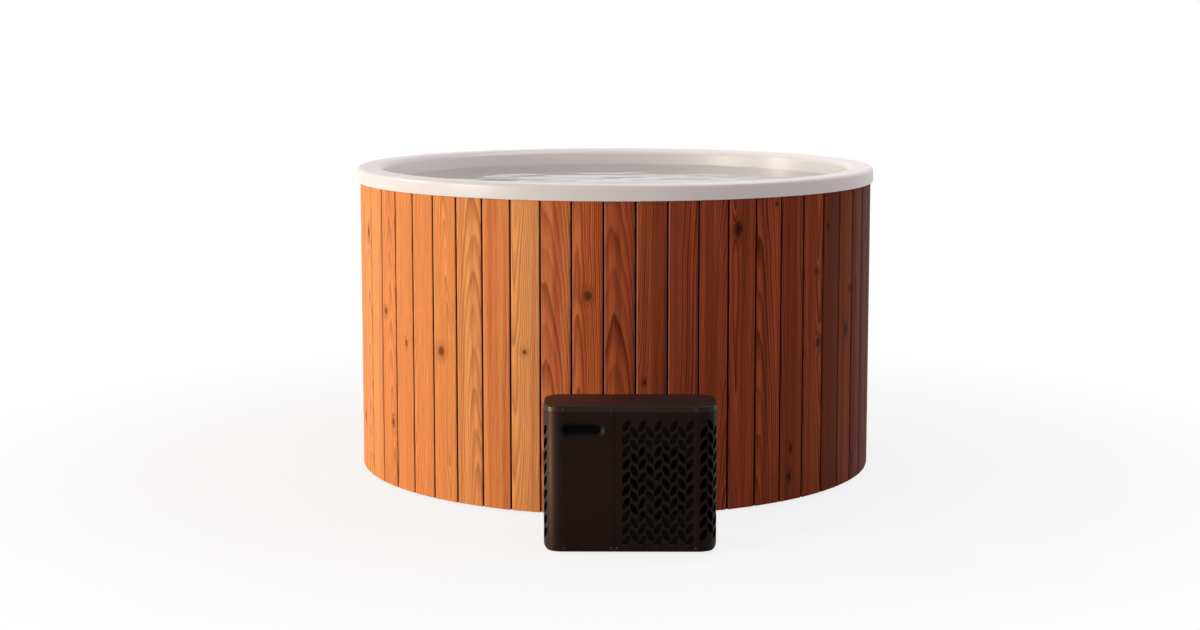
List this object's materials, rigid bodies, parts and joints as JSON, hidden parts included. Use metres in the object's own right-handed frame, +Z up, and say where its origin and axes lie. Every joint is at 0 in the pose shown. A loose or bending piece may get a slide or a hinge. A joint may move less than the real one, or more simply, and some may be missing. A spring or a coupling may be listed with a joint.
{
  "type": "wooden hot tub",
  "caption": "Round hot tub: moulded white shell with a broad rim in a ring of upright tongued timber staves, with a compact heat pump beside it.",
  "frame": {"origin": "on the tub's axis, on the floor under the middle bearer", "axes": "+Z up along the tub's axis, -Y towards the front where the heat pump stands, +X to the right as seen from the front"},
  "size_m": [1.8, 2.3815, 1.04],
  "materials": {
    "cladding_timber": "oiled heat-treated softwood boards",
    "frame_timber": "planed pine",
    "plywood": "plywood",
    "shell_acrylic": "gloss white acrylic",
    "foam": "closed-cell foam",
    "rubber": "black rubber",
    "fitting_plastic": "white moulded plastic",
    "pipe_plastic": "grey pressure pipe",
    "lever_plastic": "red moulded plastic",
    "panel_coat": "near-black fine powder coat",
    "cover_coat": "dark brown fine powder coat",
    "screw_steel": "stainless steel",
    "black_steel": "blackened steel",
    "display_frame": "gloss black plastic",
    "display_glass": "gloss black glass over a display",
    "dark_plastic": "black moulded plastic",
    "zinc_sheet": "galvanised sheet",
    "coil_fins": "black-coated aluminium fins",
    "copper": "copper pipe",
    "circuit_board": "circuit board",
    "water": "clear water"
  },
  "bodies": {
    "root": {"tub_shell": "shell_acrylic", "staves": "cladding_timber", "pierced_staves": "cladding_timber", "bottom_ring": "frame_timber", "middle_ring": "frame_timber", "top_ring": "frame_timber", "lower_posts": "frame_timber", "upper_posts": "frame_timber", "stave_screws": "screw_steel", "base_board": "plywood", "floor_bearers": "frame_timber", "floor_pad": "foam", "seat_props": "frame_timber", "insulation_blanket": "foam", "suction_fitting": "fitting_plastic", "return_fitting": "fitting_plastic", "fitting_gaskets": "rubber", "fitting_nuts": "fitting_plastic", "suction_grate": "fitting_plastic", "jet_ring": "fitting_plastic", "drain_flange": "fitting_plastic", "drain_gasket": "rubber", "drain_nut": "fitting_plastic", "drain_pipe": "pipe_plastic", "drain_coupling": "pipe_plastic", "pipe_grommets": "rubber", "valve_body": "pipe_plastic", "rubber_feet": "rubber", "base_pan": "black_steel", "front_grille": "panel_coat", "right_side_panel": "panel_coat", "left_side_panel": "panel_coat", "control_panel": "panel_coat", "display_frame": "display_frame", "display_glass": "display_glass", "display_driver": "circuit_board", "top_rail": "zinc_sheet", "top_cover": "cover_coat", "cover_screws": "black_steel", "panel_screws": "black_steel", "partition": "zinc_sheet", "fan_shroud": "dark_plastic", "fan_motor": "black_steel", "motor_bracket": "zinc_sheet", "evaporator": "coil_fins", "rear_panel": "panel_coat", "rear_guard": "black_steel", "compressor": "black_steel", "compressor_mounts": "rubber", "heat_exchanger": "dark_plastic", "spigot_unions": "fitting_plastic", "copper_lines": "copper", "control_board": "circuit_board", "cable_gland": "dark_plastic"},
    "fan": {"fan_rotor": "dark_plastic", "fan_shaft": "screw_steel"},
    "drain_lever": {"valve_lever": "lever_plastic", "valve_stem": "pipe_plastic", "valve_ball": "fitting_plastic"},
    "return_jet": {"jet_eyeball": "fitting_plastic"}
  },
  "joints": [
    {"name": "fan_spin", "type": "hinge", "parent": "root", "child": "fan", "pos_m": [0.1185, -1.293, 0.2131], "axis": [0, 1, 0], "continuous": true},
    {"name": "drain_valve_turn", "type": "hinge", "parent": "root", "child": "drain_lever", "pos_m": [0.18477, 0.95, 0.097], "axis": [0, 0, 1], "range_deg": [0, 90]},
    {"name": "return_jet_swivel", "type": "hinge", "parent": "root", "child": "return_jet", "pos_m": [-0.08613, -0.39907, 0.312], "axis": [0, 0, 1], "range_deg": [-20, 20]}
  ]
}
